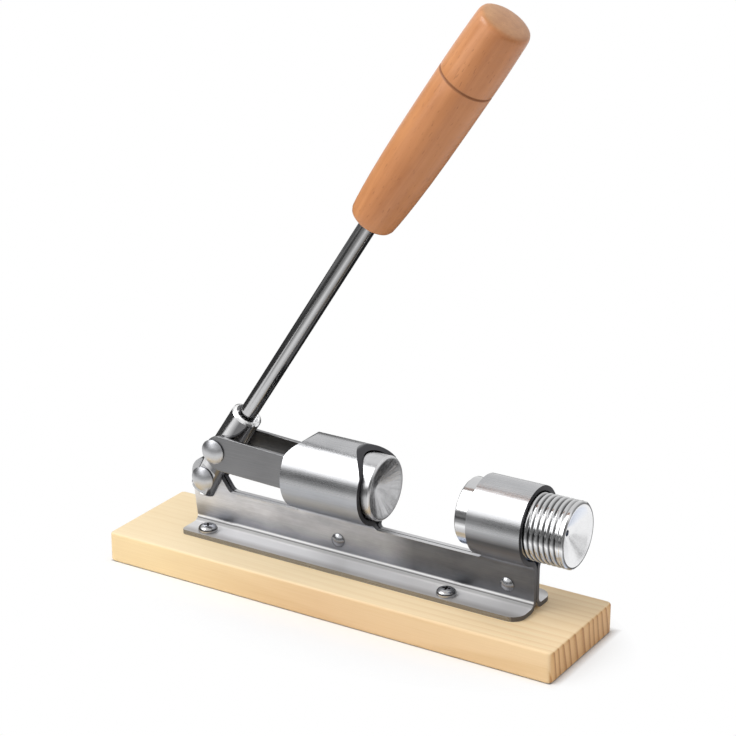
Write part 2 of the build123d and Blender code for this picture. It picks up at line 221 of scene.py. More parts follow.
def frameTones(tree, shader, colour, roughness):
    loops, web, flange, bend, cut = (frameFinish[key] for key in ("loops", "web", "flange", "bend", "cut"))
    x, y, z = axes(tree, placed(tree))
    flatX, flatY, flatZ = facing(tree, "True Normal")
    smoothZ = facing(tree)[2]
    below = falling(tree, z, web["top"], mm)
    above = rising(tree, z, web["foot"], mm)

    # painted shade on the loops' undersides, slight on the left loop and deep on the right
    under = product(tree, falling(tree, smoothZ, loops["under"]), inverse(tree, below))
    toRight = rising(tree, x, loops["toRight"], mm)
    colour = tinted(tree, under, colour, covered(tree, toRight, loops["left"], loops["right"]))
    roughness = added(tree, roughness, under, loops["rougher"])
    # painted shade on the bottom of the left loop
    bottom = falling(tree, smoothZ, loops["bottom"])
    colour = tinted(tree, bottom, colour, covered(tree, toRight, loops["bottomTone"], white))
    # painted reflection lightening the right loop's lower side
    lift = product(tree, toRight, falling(tree, smoothZ, loops["lift"]))
    colour = tinted(tree, lift, colour, loops["liftTone"])

    onWeb = product(tree, below, above)
    # painted reflection and shade along the web, light to the left and dark to the right
    fade = ramp(tree, rising(tree, x, web["reach"], mm), greys(web["fade"]))
    colour = tinted(tree, onWeb, colour, tinted(tree, 1.0, fade, web["tone"]))
    patchNoise = noise(tree, placed(tree, web["patchGrain"]), 1.0, 4.0, 0.6)
    colour = tinted(tree, onWeb, colour, ramp(tree, patchNoise, web["patches"]))
    # painted shade at the foot of the web on the left
    low = product(tree, onWeb, falling(tree, x, web["lowLeft"], mm), falling(tree, z, web["lowHeight"], mm))
    colour = tinted(tree, low, colour, web["lowTone"])
    roughness = added(tree, roughness, onWeb, web["rougher"])
    # painted highlight: the web's upward-facing top edges set light grey
    rims = product(tree, onWeb, rising(tree, flatZ, web["rim"]))
    colour = covered(tree, rims, colour, web["rimTone"])

    onFlange = product(tree, rising(tree, smoothZ, flange["facing"]), inverse(tree, above))
    reach = math2(tree, "ABSOLUTE", math2(tree, "SUBTRACT", y, frameY * mm))
    flangeTone = covered(tree, rising(tree, x, flange["toRight"], mm), flange["left"], flange["right"])
    # painted light on the flange close to the web
    flangeTone = tinted(tree, falling(tree, reach, flange["back"], mm), flangeTone, flange["backTone"])
    colour = covered(tree, onFlange, colour, flangeTone)
    roughness = added(tree, roughness, onFlange, flange["rougher"])
    tree.links.new(span(tree, onFlange, 1.0, flange["metal"]), shader.inputs["Metallic"])

    # painted shade on the bend between web and flange
    onBend = product(tree, rising(tree, smoothZ, bend["from"]), falling(tree, smoothZ, bend["to"]),
                     falling(tree, z, bend["top"], mm))
    colour = tinted(tree, onBend, colour, bend["tone"])
    roughness = added(tree, roughness, onBend, bend["rougher"])
    # painted highlight along the upper bend
    topside = rising(tree, flatZ, bend["topside"])
    shine = product(tree, topside, rising(tree, z, bend["shineFrom"], mm), falling(tree, z, bend["shineTo"], mm))
    colour = covered(tree, product(tree, shine, bend["shineShare"]), colour, bend["shine"])
    # painted shade in a crease line low on the bend
    crease = product(tree, topside, rising(tree, z, bend["creaseFrom"], mm), falling(tree, z, bend["creaseTo"], mm))
    colour = tinted(tree, crease, colour, bend["crease"])

    edge = product(tree, rising(tree, math2(tree, "ABSOLUTE", flatY), flange["edge"]),
                   falling(tree, z, flange["edgeTop"], mm))
    colour = tinted(tree, edge, colour, flange["edgeTone"])
    # cut ends facing along the bars near black: raw sheared steel, with painted shade of the gaps round the plunger and
    # anvil
    ends = rising(tree, math2(tree, "ABSOLUTE", flatX), cut["facing"])
    colour = covered(tree, ends, colour, covered(tree, below, cut["tone"], cut["lowTone"]))
    roughness = added(tree, roughness, ends, cut["rougher"])
    return colour, roughness


# painted shade on the walls and floor of a screw's recess, the dome between them isn't shaded
def pitTones(tree, colour, pit):
    z = axes(tree, placed(tree))[2]
    flatZ = facing(tree, "True Normal")[2]
    foot, low, high = (pit["floor"] + step for step in pit["steps"])
    walls = product(tree, falling(tree, flatZ, pit["steep"]), rising(tree, z, (pit["floor"], foot), mm))
    floors = product(tree, rising(tree, flatZ, pit["flat"]), falling(tree, z, (low, high), mm))
    return covered(tree, math2(tree, "MAXIMUM", walls, floors), colour, pit["tone"])


# a painted highlight on the turned ring beyond a given distance along the lever, with painted shade in the gap round
# the bore
def ringTones(tree, colour, roughness, ring):
    along = vectorMath(tree, "DOT_PRODUCT", placed(tree), leverDir).outputs["Value"]
    start = rodLine.dot(leverDir) + ring["from"]
    beyond = rising(tree, along, (start, start + ring["blend"]), mm)
    colour = covered(tree, beyond, colour, ring["light"])
    offset = vectorMath(tree, "SUBTRACT", placed(tree), rodLine * mm).outputs["Vector"]
    around = vectorMath(tree, "CROSS_PRODUCT", offset, leverDir).outputs["Vector"]
    radius = vectorMath(tree, "LENGTH", around).outputs["Value"]
    mouth = product(tree, beyond, falling(tree, radius, ring["bore"], mm))
    colour = covered(tree, mouth, colour, ring["hollowShade"])
    return colour, added(tree, roughness, beyond, ring["rougher"])


# plated steel: faint rolling lines and a cloudy polish
platedFinish = {"dark": (0.395, 0.398, 0.409), "light": (0.515, 0.518, 0.529), "rough": (0.22, 0.32),
                "grain": (2600.0, 2600.0, 2600.0), "cloud": 55.0, "tones": (0.32, 0.66), "polish": (0.3, 0.7),
                "lines": 0.02, "lineDepth": 0.00003}
rolledGrain = (45.0, 2600.0, 2600.0)  # drawn out along the bar


def platedSteel(name, **finish):
    f = {**platedFinish, **finish}
    mat, tree, shader = newMaterial(name)
    streaks = noise(tree, placed(tree, f["grain"]), 1.0, 3.0, 0.6)
    clouds = noise(tree, placed(tree), f["cloud"], 5.0, 0.6)
    mixed = added(tree, math2(tree, "MULTIPLY", streaks, 0.5), clouds, 0.5)
    colour = ramp(tree, mixed, list(zip(f["tones"], (f["dark"], f["light"]))))
    roughness = span(tree, mixed, *f["rough"], *f["polish"])
    shader.inputs["Metallic"].default_value = 1.0
    if "folded" in f:
        colour, roughness = frameTones(tree, shader, colour, roughness)
    if "pit" in f:
        colour = pitTones(tree, colour, f["pit"])
    if "dull" in f:  # painted shade on the side whose normal points past the given limits
        colour = tinted(tree, falling(tree, facing(tree)[2], f["dull"]["facing"]), colour, f["dull"]["tone"])
    if "ring" in f:
        colour, roughness = ringTones(tree, colour, roughness, f["ring"])
    tree.links.new(colour, shader.inputs["Base Color"])
    tree.links.new(roughness, shader.inputs["Roughness"])
    bump(tree, shader, streaks, f["lines"], f["lineDepth"])
    return mat


# turned metal: fine tool rings round the bar's axis, pitch and lengths in millimetres
turnedFinish = {"dark": (0.45, 0.45, 0.46), "light": (0.66, 0.66, 0.67), "rough": (0.16, 0.32), "pitch": 0.45,
                "wobble": 300.0, "wobbleTurn": 2.0, "cloud": 120.0, "ringShare": 0.35, "tones": (0.25, 0.75),
                "polish": (0.2, 0.8), "depth": 0.35, "ringDepth": 0.00002}


def turnedMetal(name, **finish):
    f = {**turnedFinish, **finish}
    mat, tree, shader = newMaterial(name)
    local = alongAxis(tree, Vector((0, frameY, barAxisZ)) * mm, barDir)[0]
    x, y, z = axes(tree, local)
    radius = length2(tree, x, y)
    wobble = math2(tree, "MULTIPLY", noise(tree, local, f["wobble"], 2.0), f["wobbleTurn"])
    phase = added(tree, wobble, math2(tree, "ADD", radius, z), 2 * math.pi / (f["pitch"] * mm))
    rings = math2(tree, "SINE", phase)
    clouds = noise(tree, local, f["cloud"], 5.0)
    mixed = added(tree, span(tree, rings, 0.0, f["ringShare"], -1.0, 1.0), clouds, 1.0 - f["ringShare"])
    colour = ramp(tree, mixed, list(zip(f["tones"], (f["dark"], f["light"]))))
    roughness = span(tree, mixed, *f["rough"], *f["polish"])
    if "thread" in f:
        colour, roughness = threadTones(tree, colour, roughness, radius, f["thread"])
    tree.links.new(colour, shader.inputs["Base Color"])
    tree.links.new(roughness, shader.inputs["Roughness"])
    shader.inputs["Metallic"].default_value = 1.0
    bump(tree, shader, rings, f["depth"], f["ringDepth"])
    return mat


# painted shade in the thread's roots, left off where the light band falls, painted light and dark reflection bands by
# how the thread faces, painted shade underneath, coarser clean dishes inside the rim
def threadTones(tree, colour, roughness, radius, thread):
    normalZ = facing(tree)[2]
    outside = rising(tree, radius, thread["outside"], mm)
    around = rising(tree, normalZ, (-1.0, 1.0))
    roots = product(tree, outside, falling(tree, radius, thread["roots"], mm))
    hollowShade = product(tree, ramp(tree, around, greys(thread["hollowShade"])), roots)
    colour = covered(tree, hollowShade, colour, thread["rootTone"])
    colour = tinted(tree, outside, colour, ramp(tree, around, greys(thread["bands"])))
    colour = tinted(tree, falling(tree, normalZ, thread["under"]), colour, thread["underTone"])
    dish = falling(tree, radius, thread["inside"], mm)
    return colour, added(tree, roughness, dish, thread["dishRough"])


# bare pine, quarter sawn: the year rings stand upright in the end grain
pineFinish = {
    "grain": [(0.0, (0.98, 0.81, 0.54)), (0.35, (0.86, 0.655, 0.375)), (0.95, (0.46, 0.215, 0.065))],
    "rings": [(0.0, 0.08), (0.40, 0.22), (0.74, 0.80), (0.88, 1.0), (1.0, 0.08)],
    "ringsPerMetre": 195.0, "lean": 0.20, "wander": 0.015, "drift": (3.0, 30.0, 9.0),
    "fibre": (22.0, 1500.0, 1500.0), "fibreShare": 0.35, "cloud": (9.0, 40.0, 40.0), "cloudShare": 0.55,
    "clouds": [(0.3, (0.90, 0.84, 0.76)), (0.7, white)],
    "facing": (0.45, 0.9), "sideFacing": (0.35, 0.9),
    "topRings": (0.09, 0.24), "topReach": (-50.0, 110.0), "endRings": 0.60,
    "end": (0.86, 0.66, 0.47), "endLow": (0.78, 0.58, 0.39), "endHeight": (3.0, 13.0),
    "sides": [(0.0, (0.96, 0.90, 0.77)), (0.45, (0.82, 0.685, 0.565)), (1.0, (0.92, 0.81, 0.70))],
    "sideReach": (-90.0, 110.0), "topRight": (1.06, 1.0, 0.95), "topRightReach": (-20.0, 100.0),
    "rough": (0.42, 0.60), "relief": 0.25, "reliefDepth": 0.00012,
}


def bareWood(name):
    f = pineFinish
    mat, tree, shader = newMaterial(name)
    x, y, z = axes(tree, placed(tree))
    normalX, normalY, normalZ = facing(tree)
    ends = rising(tree, math2(tree, "ABSOLUTE", normalX), f["facing"])
    side = rising(tree, math2(tree, "ABSOLUTE", normalY), f["sideFacing"])
    lid = product(tree, rising(tree, normalZ, f["facing"]), rising(tree, x, f["topRightReach"], mm))
    drift = noise(tree, placed(tree, f["drift"]), 1.0, 2.0)
    across = added(tree, added(tree, y, z, f["lean"]), drift, f["wander"])
    turns = math2(tree, "FRACT", math2(tree, "MULTIPLY", across, f["ringsPerMetre"]))
    topDepth = span(tree, x, *f["topRings"], *(limit * mm for limit in f["topReach"]))
    ringDepth = added(tree, topDepth, ends, f["endRings"])
    rings = product(tree, ramp(tree, turns, greys(f["rings"])), ringDepth)
    fibres = noise(tree, placed(tree, f["fibre"]), 1.0, 4.0, 0.65)
    grain = added(tree, rings, math2(tree, "SUBTRACT", fibres, 0.5), f["fibreShare"])
    clouds = noise(tree, placed(tree, f["cloud"]), 1.0, 3.0)
    colour = tinted(tree, f["cloudShare"], ramp(tree, grain, f["grain"]), ramp(tree, clouds, f["clouds"]))
    # end grain tinted darker, as pine's end grain is, and darker still towards the bottom as painted shade
    endTone = covered(tree, rising(tree, z, f["endHeight"], mm), f["endLow"], f["end"])
    colour = tinted(tree, ends, colour, endTone)
    # painted light and shade on the front and back: lighter at the left end, darker in the middle
    colour = tinted(tree, side, colour, ramp(tree, rising(tree, x, f["sideReach"], mm), f["sides"]))
    # painted shade warming the top towards the right end
    colour = tinted(tree, lid, colour, f["topRight"])
    tree.links.new(colour, shader.inputs["Base Color"])
    tree.links.new(span(tree, fibres, *f["rough"]), shader.inputs["Roughness"])
    bump(tree, shader, grain, f["relief"], f["reliefDepth"])
    return mat


# lacquered beech: straight warm grain with short dark flecks
beechFinish = {
    "grain": [(0.30, (0.445, 0.158, 0.048)), (0.62, (0.575, 0.230, 0.080))], "fleck": (0.28, 0.085, 0.026),
    "burnt": (0.27, 0.095, 0.028), "burnReach": (0.3, 0.95), "burntRough": 0.4,
    "cap": (1.05, 1.25, 1.45), "capBlend": 1.0,
    "sides": [(0.16, (1.14, 1.24, 1.34)), (0.42, white), (0.52, white), (0.70, (0.93, 0.93, 0.95))],
    "sideReach": (-13.0, 13.0), "fibre": (260.0, 260.0, 9.0), "fibreShare": 0.65, "cloud": 38.0,
    "fleckGrain": (1500.0, 1500.0, 260.0), "flecks": [(0.66, 0.0), (0.74, 1.0)], "fleckShare": 0.45,
    "rough": (0.30, 0.42), "coat": 0.14, "coatRough": 0.22, "relief": 0.10, "reliefDepth": 0.00010,
}


def lacqueredWood(name, foot, direction, grip):
    f = beechFinish
    mat, tree, shader = newMaterial(name)
    local, turn = alongAxis(tree, foot * mm, direction)
    along = axes(tree, local)[2]
    grain = noise(tree, scaled(tree, local, f["fibre"]), 1.0, 5.0, 0.6, 0.4)
    clouds = noise(tree, local, f["cloud"], 2.0)
    flecks = noise(tree, scaled(tree, local, f["fleckGrain"]), 1.0, 1.0)
    mixed = added(tree, math2(tree, "MULTIPLY", grain, f["fibreShare"]), clouds, 1.0 - f["fibreShare"])
    colour = ramp(tree, mixed, f["grain"])
    fleckShare = math2(tree, "MULTIPLY", ramp(tree, flecks, greys(f["flecks"])), f["fleckShare"])
    colour = covered(tree, fleckShare, colour, f["fleck"])
    # painted light and shade across the grip: paler on the lit side, darker on the far side
    across = vectorMath(tree, "DOT_PRODUCT", local, turn @ Vector(grip["shadeSide"])).outputs["Value"]
    colour = tinted(tree, 1.0, colour, ramp(tree, rising(tree, across, f["sideReach"], mm), f["sides"]))
    # painted sheen paling the cap
    capEdge = (grip["cap"] - f["capBlend"], grip["cap"])
    colour = tinted(tree, rising(tree, along, capEdge, mm), colour, f["cap"])
    away = math2(tree, "ABSOLUTE", math2(tree, "SUBTRACT", along, grip["groove"] * mm))
    burn = falling(tree, away, f["burnReach"], grip["grooveWidth"] * mm)
    colour = covered(tree, burn, colour, f["burnt"])
    roughness = added(tree, span(tree, mixed, *f["rough"]), burn, f["burntRough"])
    tree.links.new(colour, shader.inputs["Base Color"])
    tree.links.new(roughness, shader.inputs["Roughness"])
    shader.inputs["Coat Weight"].default_value = f["coat"]
    shader.inputs["Coat Roughness"].default_value = f["coatRough"]
    bump(tree, shader, grain, f["relief"], f["reliefDepth"])
    return mat


# mesh helpers, sizes in millimetres
def addObject(name, data):
    made = bpy.data.objects.new(name, data)
    bpy.context.scene.collection.objects.link(made)
    return made


def meshOf(bm, name):
    mesh = bpy.data.meshes.new(name)
    bm.to_mesh(mesh)
    bm.free()
    return mesh


def finishPiece(bm, name, body, nodes, mat, smooth=32.0, weighted=False):
    bmesh.ops.scale(bm, vec=(mm, mm, mm), verts=bm.verts)
    mesh = meshOf(bm, name)
    mesh.shade_smooth()
    mesh.set_sharp_from_angle(angle=math.radians(smooth))
    mesh.materials.append(mat)
    piece = addObject(name, mesh)
    if weighted:  # broad faces keep their own shading beside the narrow broken edges
        keep = piece.modifiers.new("face weights", "WEIGHTED_NORMAL")
        keep.mode = "FACE_AREA"
        keep.weight = 100
        keep.keep_sharp = True
    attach(piece, body)
    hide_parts(*nodes)
    return piece


def roundEdges(bm, edges, width, segments):
    bmesh.ops.bevel(bm, geom=edges, offset=width, offset_type="OFFSET", segments=segments, profile=0.5,
                    affect="EDGES", clamp_overlap=True, material=-1)


def softenEdges(bm, width, angle=28.0, segments=2):
    limit = math.radians(angle)
    sharp = [e for e in bm.edges if len(e.link_faces) == 2 and e.calc_face_angle(0.0) > limit]
    roundEdges(bm, sharp, width, segments)


def turned(profile, origin, direction, steps):
    bm = bmesh.new()
    verts = [bm.verts.new((radius, 0.0, along)) for radius, along in profile]
    edges = [bm.edges.new(pair) for pair in zip(verts, verts[1:])]
    bmesh.ops.spin(bm, geom=verts + edges, cent=(0, 0, 0), axis=upward, angle=2 * math.pi, steps=steps,
                   use_merge=True)
    bmesh.ops.remove_doubles(bm, verts=bm.verts, dist=1e-4)
    bmesh.ops.recalc_face_normals(bm, faces=bm.faces)
    turn = upward.rotation_difference(Vector(direction)).to_matrix().to_4x4()
    bmesh.ops.transform(bm, matrix=Matrix.Translation(origin) @ turn, verts=bm.verts)
    return bm


def carried(node):
    bm = bmesh.new()
    bm.from_mesh(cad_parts[node].data)
    bmesh.ops.scale(bm, vec=(1 / mm, 1 / mm, 1 / mm), verts=bm.verts)
    bmesh.ops.remove_doubles(bm, verts=bm.verts, dist=1e-3)
    bmesh.ops.dissolve_limit(bm, angle_limit=math.radians(0.5), verts=bm.verts, edges=bm.edges)
    return bm


# board
board = {"length": 240.0, "width": 60.0, "thick": 15.0, "corner": 2.4, "cornerSteps": 6, "edge": 1.3, "edgeSteps": 4,
         "edgeAngle": 60.0, "smooth": 50.0}
bm = bmesh.new()
bmesh.ops.create_cube(bm, size=1.0)
bmesh.ops.scale(bm, vec=(board["length"], board["width"], board["thick"]), verts=bm.verts)
bmesh.ops.translate(bm, vec=(0, 0, board["thick"] / 2), verts=bm.verts)
upright = [e for e in bm.edges if abs(e.verts[0].co.z - e.verts[1].co.z) > 1.0]
roundEdges(bm, upright, board["corner"], board["cornerSteps"])
softenEdges(bm, board["edge"], board["edgeAngle"], board["edgeSteps"])
finishPiece(bm, "board", "base", ["base_board"], bareWood("bare pine"), board["smooth"])
print("board done")

# sheet frame, links and small turned pieces keep their shape, with the cut edges broken
sheetSteel = platedSteel("plated sheet", grain=rolledGrain, folded=True)
linkSteel = platedSteel("satin plated link", grain=rolledGrain, rough=(0.28, 0.40),
                        dark=(0.195, 0.195, 0.20), light=(0.26, 0.26, 0.265))
leverPolish = {"rough": (0.10, 0.18), "lines": 0.004}
# the head's tones are lighter than the bar's as painted light for its bright band; painted shade on its underside
headSteel = platedSteel("plated head", **leverPolish, dark=(0.66, 0.66, 0.665), light=(0.84, 0.84, 0.845),
                        ring={"from": 40.9, "blend": 0.2, "light": (0.92, 0.92, 0.92), "bore": (5.5, 5.8),
                              "hollowShade": (0.05, 0.05, 0.055), "rougher": 0.25},
                        dull={"facing": (-0.12, 0.10), "tone": (0.22, 0.22, 0.225)})
turnedSteel = turnedMetal("turned steel")
mouth = {"width": 0.8, "steps": 3, "cut": 0.3, "outward": 0.9, "above": 39.0}
dressed = {
    "frame": {"body": "base", "slot": "plated_sheet", "mat": sheetSteel, "edge": 0.28},
    "link_front": {"body": "links", "slot": "plated_sheet", "mat": linkSteel, "edge": 0.25},
    "link_rear": {"body": "links", "slot": "plated_sheet", "mat": linkSteel, "edge": 0.25},
    "lever_head": {"body": "lever", "slot": "plated_steel", "mat": headSteel, "edge": 0.35},
    "plunger": {"body": "ram", "slot": "turned_steel", "mat": turnedSteel, "edge": 0.5},
    "plunger_pin": {"body": "ram", "slot": "turned_steel", "mat": turnedSteel, "edge": 0.3},
    "pivot_spacer": {"body": "base", "slot": "turned_steel", "mat": turnedSteel, "edge": 0.2},
    "collar_thread_ring": {"body": "base", "slot": "turned_steel", "mat": turnedSteel, "edge": 0.3},
}


def roundMouths(bm):
    outline = []
    for e in bm.edges:
        if len(e.link_faces) != 2:
            continue
        cut, skin = sorted(e.link_faces, key=lambda face: -face.normal.x)
        middle = (e.verts[0].co + e.verts[1].co) / 2
        outward = Vector((0, middle.y - frameY, middle.z - barAxisZ)).normalized()
        facesOut = cut.normal.x > mouth["cut"] and skin.normal.dot(outward) > mouth["outward"]
        if facesOut and middle.z > mouth["above"]:
            outline.append(e)
    roundEdges(bm, outline, mouth["width"], mouth["steps"])
    print("mouth edges rounded:", len(outline))


for node, d in dressed.items():
    bm = carried(node)
    if node == "frame":
        roundMouths(bm)
    softenEdges(bm, d["edge"])
    finishPiece(bm, "dressed_" + node, d["body"], [node], d["mat"], weighted=True)
    print(node, "edges broken")

# lever rod
rod = {"radius": 4.2, "foot": 26.5, "top": 229.5, "chamfer": 0.5, "sides": 72}
# painted shade on the rod's underside
barSteel = platedSteel("plated bar", **leverPolish, dark=(0.50, 0.50, 0.505), light=(0.62, 0.62, 0.625),
                       dull={"facing": (-0.42, -0.22), "tone": (0.27, 0.27, 0.275)})
rodTip = rod["radius"] - rod["chamfer"]
profile = [(0, rod["foot"]), (rodTip, rod["foot"]), (rod["radius"], rod["foot"] + rod["chamfer"]),
           (rod["radius"], rod["top"] - rod["chamfer"]), (rodTip, rod["top"]), (0, rod["top"])]
bm = turned(profile, rodLine, leverDir, rod["sides"])
finishPiece(bm, "rod", "lever", ["lever_rod"], barSteel)
print("rod done")

# grip, turned to pairs of distance and radius, with a groove between the two runs
grip = {"foot": 167.5, "tilt": 1.4, "groove": 83.0, "grooveWidth": 1.0, "grooveDepth": 0.5, "cap": 115.6,
        "shadeSide": (0.797, 0.258, -0.546), "sides": 128, "smooth": 60.0,
        "ditch": [(-1.6, 0.0), (-1.0, 0.12), (-0.4, 0.85), (0.0, 1.0), (0.4, 0.85), (1.0, 0.12), (1.6, 0.0)],
        "radii": [(0.0, 8.6), (0.25, 9.4), (0.8, 10.15), (2.0, 10.7), (6.0, 11.15), (12.0, 11.62), (20.0, 12.1),
                  (32.0, 12.6), (46.0, 12.9), (64.0, 13.06), (74.0, 13.1)],
        "above": [(90.0, 13.08), (96.0, 13.0), (104.0, 12.8), (110.0, 12.62), (112.7, 12.48), (113.8, 12.25),
                  (114.8, 11.75), (115.3, 10.95), (115.5, 10.0), (115.75, 7.0), (116.0, 0.0)]}
gripTurn = leverTurn - math.radians(grip["tilt"])
gripDir = Vector((math.cos(gripTurn), 0.0, math.sin(gripTurn)))
gripFoot = rodLine + leverDir * grip["foot"]
widest = grip["radii"][-1][1]
half = grip["grooveWidth"] / 2
ditch = [(grip["groove"] + half * step, widest - grip["grooveDepth"] * deep) for step, deep in grip["ditch"]]
profile = [(0.0, 0.0)] + [(radius, along) for along, radius in grip["radii"] + ditch + grip["above"]]
bm = turned(profile, gripFoot, gripDir, grip["sides"])
beech = lacqueredWood("lacquered beech", gripFoot, gripDir, grip)
finishPiece(bm, "grip", "lever", ["handle_grip"], beech, grip["smooth"])
print("grip done")

# domed rivets: shank, two heads
# painted shade on the upper side of the big rivets' domes
rivetSteel = platedSteel("plated rivet", rough=(0.36, 0.46), dark=(0.52, 0.525, 0.54), light=(0.66, 0.665, 0.68),
                         dull={"facing": (0.50, 0.0), "tone": (0.52, 0.52, 0.53)})
# painted shade on the lower side of the small rivets' domes
dullRivetSteel = platedSteel("dull rivet", rough=(0.22, 0.30), dark=(0.34, 0.345, 0.36), light=(0.46, 0.465, 0.48),
                             dull={"facing": (0.0, 0.32), "tone": (0.52, 0.52, 0.54)})
bigRivet = {"shank": 3.0, "head": 6.1, "height": 3.2, "edge": 0.5, "mat": rivetSteel}
smallRivet = {"shank": 2.0, "head": 3.5, "height": 1.7, "edge": 0.3, "mat": dullRivetSteel,
              "body": "base", "seat": 2.45}
rivetForm = {"domeSteps": 12, "sides": 64, "smooth": 45.0, "lip": [(0.12, 0.05), (0.35, 0.0)]}
rivets = {
    "pivot_rivet": {**bigRivet, "at": pivot, "body": "base", "seat": 6.35},
    "link_rivet": {**bigRivet, "at": linkPoint, "body": "lever", "seat": 9.8},
    "frame_rivet_left": {**smallRivet, "at": Vector((-8.8, frameY, 25.2))},
    "frame_rivet_right": {**smallRivet, "at": Vector((81.0, frameY, 25.2))},
}
for node, r in rivets.items():
    bulge = r["height"] - r["edge"]
    ball = (r["head"] ** 2 + bulge ** 2) / (2 * bulge)
    spread = math.asin(r["head"] / ball)
    centre = r["seat"] + r["height"] - ball
    leans = [spread * i / rivetForm["domeSteps"] for i in range(rivetForm["domeSteps"] + 1)]
    upper = [(ball * math.sin(lean), centre + ball * math.cos(lean)) for lean in leans]
    upper += [(r["head"] - inset, r["seat"] + up) for inset, up in rivetForm["lip"]] + [(r["shank"], r["seat"])]
    profile = upper + [(radius, -along) for radius, along in reversed(upper)]
    bm = turned(profile, r["at"], (0, 1, 0), rivetForm["sides"])
    finishPiece(bm, "dressed_" + node, r["body"], [node], r["mat"], rivetForm["smooth"])
print("rivets done")

# wood screws with a cross recess
screw = {"head": 4.7, "height": 3.2, "edge": 0.6, "square": 0.72, "domeSteps": 18, "brim": 0.12, "chamfer": 0.15,
         "shank": 2.0, "tip": 3.5, "point": 1.5, "blunt": 0.4, "seat": 17.3, "reach": 11.2, "sides": 64, "smooth": 35.0,
         "armLength": 2.8, "armWidth": 1.3, "recess": 2.0, "taper": (0.45, 0.6),
         "spots": {"front_left": (-77.5, -1, 38.0), "front_right": (54.7, -1, 12.0),
                   "rear_left": (-77.5, 1, 65.0), "rear_right": (54.7, 1, 80.0)}}
screwSteel = platedSteel("plated screw", rough=(0.20, 0.30), dark=(0.38, 0.38, 0.385), light=(0.55, 0.55, 0.56),
                         pit={"floor": screw["seat"] + screw["height"] - screw["recess"], "steps": (0.1, 0.4, 0.6),
                              "steep": (0.35, 0.45), "flat": (0.990, 0.996), "tone": (0.05, 0.05, 0.055)})


def crossCutter():
    cut = bmesh.new()
    for turn in (0.0, math.pi / 2):
        made = bmesh.ops.create_cube(cut, size=1.0)["verts"]
        bmesh.ops.scale(cut, vec=(2 * screw["armLength"], screw["armWidth"], 2 * screw["recess"]), verts=made)
        for v in made:
            if v.co.z < 0:
                v.co.x *= screw["taper"][0]
                v.co.y *= screw["taper"][1]
        bmesh.ops.rotate(cut, cent=(0, 0, 0), matrix=Matrix.Rotation(turn, 3, "Z"), verts=made)
    bmesh.ops.translate(cut, vec=(0, 0, screw["height"]), verts=cut.verts)
    return cut


def cutAway(bm, cut):
    body, cutter = (addObject("scratch", meshOf(source, "scratch")) for source in (bm, cut))
    tool = body.modifiers.new("recess", "BOOLEAN")
    tool.object = cutter
    tool.operation = "DIFFERENCE"
    tool.solver = "EXACT"
    tool.use_self = True
    bpy.context.view_layer.update()
    shaped = bpy.data.meshes.new_from_object(body.evaluated_get(bpy.context.evaluated_depsgraph_get()))
    for scratch in (body, cutter):
        bpy.data.objects.remove(scratch, do_unlink=True)
    result = bmesh.new()
    result.from_mesh(shaped)
    bpy.data.meshes.remove(shaped)
    return result


bulge = screw["height"] - screw["edge"]
length = screw["seat"] - screw["tip"]
square = screw["square"]
leans = [math.pi / 2 * i / screw["domeSteps"] for i in range(screw["domeSteps"])]
quarter = [(math.sin(lean), math.cos(lean)) for lean in leans] + [(1.0, 0.0)]
screwProfile = [(screw["head"] * out ** square, screw["edge"] + bulge * up ** square) for out, up in quarter]
screwProfile += [(screw["head"], screw["brim"]), (screw["head"] - screw["chamfer"], 0.0), (screw["shank"], 0.0),
                 (screw["shank"], screw["point"] - length), (screw["blunt"], -length), (0.0, -length)]
for spot, (x, side, turn) in screw["spots"].items():
    bm = cutAway(turned(screwProfile, (0, 0, 0), upward, screw["sides"]), crossCutter())
    bmesh.ops.rotate(bm, cent=(0, 0, 0), matrix=Matrix.Rotation(math.radians(turn), 3, "Z"), verts=bm.verts)
    bmesh.ops.translate(bm, vec=(x, frameY + side * screw["reach"], screw["seat"]), verts=bm.verts)
    finishPiece(bm, "screw_" + spot, "base", ["base_screw_" + spot], screwSteel, screw["smooth"])
print("screws done")

# anvil screw: a real thread run out into plain lands, a dish in both ends
anvil = {"inner": 60.3, "outer": 114.3, "radius": 15.5, "pitch": 2.6, "depth": 0.8, "crown": 1.6, "innerLand": 6.0,
         "outerLand": 1.7, "rim": 1.4, "dish": 5.5, "floor": 2.2, "hole": 1.5, "holeDepth": 5.0, "holePoint": 0.8,
         "dishSteps": 6, "step": 0.2, "sides": 180, "chamfer": 0.7, "smooth": 28.0}
brightAlloy = turnedMetal(
    "bright turned alloy", dark=(0.80, 0.805, 0.815), light=(0.97, 0.97, 0.98), rough=(0.08, 0.18), pitch=0.6,
    thread={"outside": (14.15, 14.2), "inside": (13.95, 14.15), "dishRough": 0.16,
            "roots": (14.75, 15.25), "rootTone": (0.17, 0.17, 0.175),
            "hollowShade": [(0.58, 1.0), (0.62, 0.0), (0.78, 0.0), (0.82, 1.0)],
            "bands": [(0.22, 0.95), (0.32, 0.56), (0.40, 0.68), (0.46, 1.0), (0.515, 0.30),
                      (0.58, 0.20), (0.615, 1.0), (0.79, 1.0), (0.83, 0.56), (0.975, 0.66)],
            "under": (-0.7, -0.2), "underTone": (0.62, 0.74, 0.98)})


def threadDrop(along, angle):
    turns = along / anvil["pitch"] - angle / (2 * math.pi)
    groove = 0.5 - 0.5 * math.cos(2 * math.pi * turns)  # 1 in the groove, 0 on the crest
    ease = min(1.0, max(0.0, (along - anvil["inner"] - anvil["innerLand"]) / anvil["pitch"]))
    ease *= min(1.0, max(0.0, (anvil["outer"] - anvil["outerLand"] - along) / (0.5 * anvil["pitch"])))
    return anvil["depth"] * groove ** anvil["crown"] * ease


